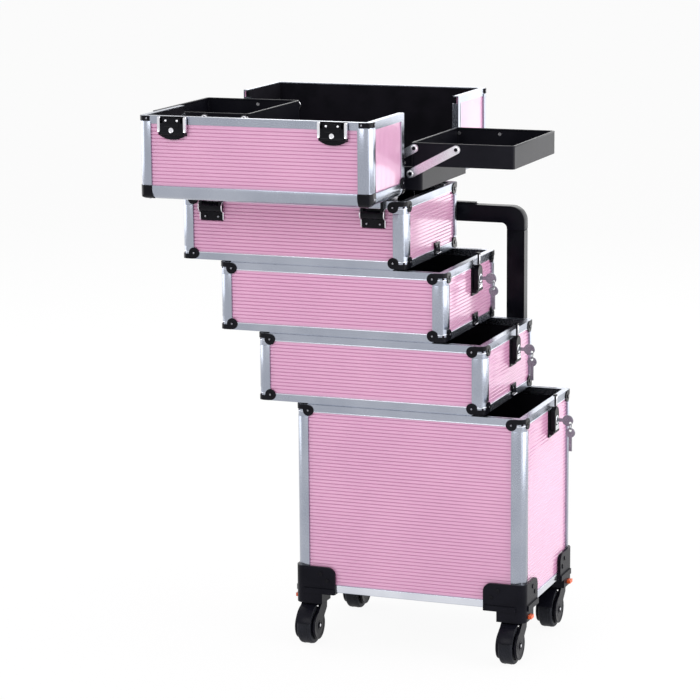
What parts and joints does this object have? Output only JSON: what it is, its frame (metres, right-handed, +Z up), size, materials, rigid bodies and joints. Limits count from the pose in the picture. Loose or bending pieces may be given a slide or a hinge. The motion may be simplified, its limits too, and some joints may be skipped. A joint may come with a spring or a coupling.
{
  "type": "rolling hairdressing case",
  "caption": "Rolling hairdressing case: a bin on swivel casters, sliding tiers and a top case with two half lids and cantilever trays.",
  "frame": {"origin": "middle of the flat underside of the bin", "axes": "+Z up, -Y to the front of the case, +X to the side of the latches"},
  "size_m": [0.6006, 0.5151, 0.7834],
  "materials": {
    "lining": "thin wooden board lined with black felt-like paper",
    "pink_skin": "pink ribbed plastic skin with a satin shine",
    "aluminium": "satin anodised aluminium",
    "black_metal": "black coated pressed steel",
    "black_plastic": "black textured moulded plastic",
    "tray_black": "black moulded plastic with a slight gloss",
    "arm_steel": "plated flat steel",
    "tube_black": "black coated aluminium tube",
    "grip_black": "black moulded plastic",
    "button_black": "black plastic push button",
    "fork_black": "black moulded caster fork",
    "wheel_rubber": "dark grey rubber wheel",
    "tab_orange": "orange moulded plastic",
    "latch_black": "black coated die casting",
    "key_steel": "nickel-plated steel keys on a ring"
  },
  "bodies": {
    "bin": {"bin_shell": "lining", "bin_panels": "pink_skin", "bin_frame": "aluminium", "bin_fittings": "black_metal", "bin_mouldings": "black_plastic"},
    "lower_tier": {"lower_tier_shell": "lining", "lower_tier_panels": "pink_skin", "lower_tier_frame": "aluminium", "lower_tier_fittings": "black_metal"},
    "upper_tier": {"upper_tier_shell": "lining", "upper_tier_panels": "pink_skin", "upper_tier_frame": "aluminium", "upper_tier_fittings": "black_metal"},
    "top_base": {"top_base_shell": "lining", "top_base_panels": "pink_skin", "top_base_frame": "aluminium", "top_base_fittings": "black_metal"},
    "front_lid": {"front_lid_shell": "lining", "front_lid_panels": "pink_skin", "front_lid_frame": "aluminium", "front_lid_fittings": "black_metal"},
    "back_lid": {"back_lid_shell": "lining", "back_lid_panels": "pink_skin", "back_lid_frame": "aluminium", "back_lid_fittings": "black_metal"},
    "right_short_outer_arms": {"right_short_outer_arms": "arm_steel"},
    "right_long_outer_arms": {"right_long_outer_arms": "arm_steel"},
    "right_short_inner_arms": {"right_short_inner_arms": "arm_steel"},
    "right_long_inner_arms": {"right_long_inner_arms": "arm_steel"},
    "right_lower_tray": {"right_lower_tray": "tray_black"},
    "right_upper_tray": {"right_upper_tray": "tray_black"},
    "left_short_outer_arms": {"left_short_outer_arms": "arm_steel"},
    "left_long_outer_arms": {"left_long_outer_arms": "arm_steel"},
    "left_short_inner_arms": {"left_short_inner_arms": "arm_steel"},
    "left_long_inner_arms": {"left_long_inner_arms": "arm_steel"},
    "left_lower_tray": {"left_lower_tray": "tray_black"},
    "left_upper_tray": {"left_upper_tray": "tray_black"},
    "handle_tubes": {"handle_tubes": "tube_black"},
    "handle_grip": {"handle_grip": "grip_black"},
    "handle_button": {"handle_button": "button_black"},
    "fork_front_left": {"fork_front_left": "fork_black"},
    "wheel_front_left": {"wheel_front_left": "wheel_rubber"},
    "tab_front_left": {"tab_front_left": "tab_orange"},
    "fork_front_right": {"fork_front_right": "fork_black"},
    "wheel_front_right": {"wheel_front_right": "wheel_rubber"},
    "tab_front_right": {"tab_front_right": "tab_orange"},
    "fork_rear_left": {"fork_rear_left": "fork_black"},
    "wheel_rear_left": {"wheel_rear_left": "wheel_rubber"},
    "tab_rear_left": {"tab_rear_left": "tab_orange"},
    "fork_rear_right": {"fork_rear_right": "fork_black"},
    "wheel_rear_right": {"wheel_rear_right": "wheel_rubber"},
    "tab_rear_right": {"tab_rear_right": "tab_orange"},
    "bin_latch": {"bin_latch": "latch_black"},
    "bin_key": {"bin_key": "key_steel"},
    "lower_tier_latch": {"lower_tier_latch": "latch_black"},
    "lower_tier_key": {"lower_tier_key": "key_steel"},
    "upper_tier_latch": {"upper_tier_latch": "latch_black"},
    "upper_tier_key": {"upper_tier_key": "key_steel"},
    "left_lid_latch": {"left_lid_latch": "latch_black"},
    "right_lid_latch": {"right_lid_latch": "latch_black"}
  },
  "joints": [
    {"name": "lower_tier_slide", "type": "slide", "parent": "bin", "child": "lower_tier", "axis": [1, 0, 0], "range_m": [0, 0.058]},
    {"name": "upper_tier_slide", "type": "slide", "parent": "lower_tier", "child": "upper_tier", "axis": [1, 0, 0], "range_m": [0, 0.058]},
    {"name": "top_case_slide", "type": "slide", "parent": "upper_tier", "child": "top_base", "axis": [1, 0, 0], "range_m": [0, 0.058]},
    {"name": "front_lid_hinge", "type": "hinge", "parent": "top_base", "child": "front_lid", "pos_m": [-0.174, -0.121, 0.577], "axis": [-1, 0, 0], "range_deg": [0, 8]},
    {"name": "back_lid_hinge", "type": "hinge", "parent": "top_base", "child": "back_lid", "pos_m": [-0.174, 0.121, 0.577], "axis": [1, 0, 0], "range_deg": [0, 8]},
    {"name": "right_lower_tray_swing", "type": "hinge", "parent": "top_base", "child": "right_short_outer_arms", "pos_m": [-0.03355, 0, 0.55213], "axis": [0, -1, 0], "range_deg": [0, 33.6]},
    {"name": "right_short_inner_swing", "type": "hinge", "parent": "top_base", "child": "right_short_inner_arms", "pos_m": [-0.09505, 0, 0.55213], "axis": [0, -1, 0], "range_deg": [0, 33.6]},
    {"name": "right_lower_tray_level", "type": "hinge", "parent": "right_short_outer_arms", "child": "right_lower_tray", "pos_m": [-0.0191, 0, 0.6], "axis": [0, -1, 0], "range_deg": [-33.6, 0]},
    {"name": "right_upper_tray_swing", "type": "hinge", "parent": "right_lower_tray", "child": "right_long_outer_arms", "pos_m": [-0.0011, 0, 0.611], "axis": [0, -1, 0], "range_deg": [0, 124]},
    {"name": "right_long_inner_swing", "type": "hinge", "parent": "right_lower_tray", "child": "right_long_inner_arms", "pos_m": [-0.0626, 0, 0.611], "axis": [0, -1, 0], "range_deg": [0, 124]},
    {"name": "right_upper_tray_level", "type": "hinge", "parent": "right_long_outer_arms", "child": "right_upper_tray", "pos_m": [0.06601, 0, 0.64668], "axis": [0, -1, 0], "range_deg": [-124, 0]},
    {"name": "left_lower_tray_swing", "type": "hinge", "parent": "top_base", "child": "left_short_outer_arms", "pos_m": [-0.31445, 0, 0.55213], "axis": [0, 1, 0], "range_deg": [0, 33.6]},
    {"name": "left_short_inner_swing", "type": "hinge", "parent": "top_base", "child": "left_short_inner_arms", "pos_m": [-0.25295, 0, 0.55213], "axis": [0, 1, 0], "range_deg": [0, 33.6]},
    {"name": "left_lower_tray_level", "type": "hinge", "parent": "left_short_outer_arms", "child": "left_lower_tray", "pos_m": [-0.3289, 0, 0.6], "axis": [0, 1, 0], "range_deg": [-33.6, 0]},
    {"name": "left_upper_tray_swing", "type": "hinge", "parent": "left_lower_tray", "child": "left_long_outer_arms", "pos_m": [-0.3469, 0, 0.611], "axis": [0, 1, 0], "range_deg": [-89, 35]},
    {"name": "left_long_inner_swing", "type": "hinge", "parent": "left_lower_tray", "child": "left_long_inner_arms", "pos_m": [-0.2854, 0, 0.611], "axis": [0, 1, 0], "range_deg": [-89, 35]},
    {"name": "left_upper_tray_level", "type": "hinge", "parent": "left_long_outer_arms", "child": "left_upper_tray", "pos_m": [-0.3124, 0, 0.67872], "axis": [0, 1, 0], "range_deg": [-35, 89]},
    {"name": "handle_tube_slide", "type": "slide", "parent": "bin", "child": "handle_tubes", "axis": [0, 0, -1], "range_m": [0, 0.23]},
    {"name": "handle_grip_slide", "type": "slide", "parent": "handle_tubes", "child": "handle_grip", "axis": [0, 0, 1], "range_m": [0, 0.03]},
    {"name": "handle_button_press", "type": "slide", "parent": "handle_grip", "child": "handle_button", "axis": [0, 0, -1], "range_m": [0, 0.003], "stiffness_N_per_m": 600},
    {"name": "front_left_swivel", "type": "hinge", "parent": "bin", "child": "fork_front_left", "pos_m": [-0.152, -0.097, -0.0187], "axis": [0, 0, 1], "continuous": true},
    {"name": "front_left_roll", "type": "hinge", "parent": "fork_front_left", "child": "wheel_front_left", "pos_m": [-0.152, -0.117, -0.0507], "axis": [1, 0, 0], "continuous": true},
    {"name": "front_left_tab_press", "type": "slide", "parent": "bin", "child": "tab_front_left", "axis": [1, 0, 0], "range_m": [0, 0.003], "stiffness_N_per_m": 500},
    {"name": "front_right_swivel", "type": "hinge", "parent": "bin", "child": "fork_front_right", "pos_m": [0.152, -0.097, -0.0187], "axis": [0, 0, 1], "continuous": true},
    {"name": "front_right_roll", "type": "hinge", "parent": "fork_front_right", "child": "wheel_front_right", "pos_m": [0.152, -0.117, -0.0507], "axis": [1, 0, 0], "continuous": true},
    {"name": "front_right_tab_press", "type": "slide", "parent": "bin", "child": "tab_front_right", "axis": [-1, 0, 0], "range_m": [0, 0.003], "stiffness_N_per_m": 500},
    {"name": "rear_left_swivel", "type": "hinge", "parent": "bin", "child": "fork_rear_left", "pos_m": [-0.152, 0.097, -0.0187], "axis": [0, 0, 1], "continuous": true},
    {"name": "rear_left_roll", "type": "hinge", "parent": "fork_rear_left", "child": "wheel_rear_left", "pos_m": [-0.152, 0.077, -0.0507], "axis": [1, 0, 0], "continuous": true},
    {"name": "rear_left_tab_press", "type": "slide", "parent": "bin", "child": "tab_rear_left", "axis": [1, 0, 0], "range_m": [0, 0.003], "stiffness_N_per_m": 500},
    {"name": "rear_right_swivel", "type": "hinge", "parent": "bin", "child": "fork_rear_right", "pos_m": [0.152, 0.097, -0.0187], "axis": [0, 0, 1], "continuous": true},
    {"name": "rear_right_roll", "type": "hinge", "parent": "fork_rear_right", "child": "wheel_rear_right", "pos_m": [0.152, 0.077, -0.0507], "axis": [1, 0, 0], "continuous": true},
    {"name": "rear_right_tab_press", "type": "slide", "parent": "bin", "child": "tab_rear_right", "axis": [-1, 0, 0], "range_m": [0, 0.003], "stiffness_N_per_m": 500},
    {"name": "bin_latch_lever", "type": "hinge", "parent": "bin", "child": "bin_latch", "pos_m": [0.1745, 0.02, 0.231], "axis": [0, 1, 0], "range_deg": [0, 40]},
    {"name": "bin_key_turn", "type": "hinge", "parent": "bin_latch", "child": "bin_key", "pos_m": [0.178, 0.02, 0.248], "axis": [1, 0, 0], "range_deg": [0, 90]},
    {"name": "lower_tier_latch_lever", "type": "hinge", "parent": "lower_tier", "child": "lower_tier_latch", "pos_m": [0.1165, 0.02, 0.331], "axis": [0, 1, 0], "range_deg": [0, 40]},
    {"name": "lower_tier_key_turn", "type": "hinge", "parent": "lower_tier_latch", "child": "lower_tier_key", "pos_m": [0.12, 0.02, 0.348], "axis": [1, 0, 0], "range_deg": [0, 90]},
    {"name": "upper_tier_latch_lever", "type": "hinge", "parent": "upper_tier", "child": "upper_tier_latch", "pos_m": [0.0585, 0.02, 0.431], "axis": [0, 1, 0], "range_deg": [0, 40]},
    {"name": "upper_tier_key_turn", "type": "hinge", "parent": "upper_tier_latch", "child": "upper_tier_key", "pos_m": [0.062, 0.02, 0.448], "axis": [1, 0, 0], "range_deg": [0, 90]},
    {"name": "left_lid_latch_lever", "type": "hinge", "parent": "front_lid", "child": "left_lid_latch", "pos_m": [-0.292, -0.2569, 0.6747], "axis": [1, 0, 0], "range_deg": [0, 80]},
    {"name": "right_lid_latch_lever", "type": "hinge", "parent": "front_lid", "child": "right_lid_latch", "pos_m": [-0.056, -0.2569, 0.6747], "axis": [1, 0, 0], "range_deg": [0, 80]}
  ],
  "couplings": [
    {"joint": "right_short_inner_swing", "follows": "right_lower_tray_swing", "ratio": 1},
    {"joint": "right_lower_tray_level", "follows": "right_lower_tray_swing", "ratio": -1},
    {"joint": "right_long_inner_swing", "follows": "right_upper_tray_swing", "ratio": 1},
    {"joint": "right_upper_tray_level", "follows": "right_upper_tray_swing", "ratio": -1},
    {"joint": "left_short_inner_swing", "follows": "left_lower_tray_swing", "ratio": 1},
    {"joint": "left_lower_tray_level", "follows": "left_lower_tray_swing", "ratio": -1},
    {"joint": "left_long_inner_swing", "follows": "left_upper_tray_swing", "ratio": 1},
    {"joint": "left_upper_tray_level", "follows": "left_upper_tray_swing", "ratio": -1}
  ]
}
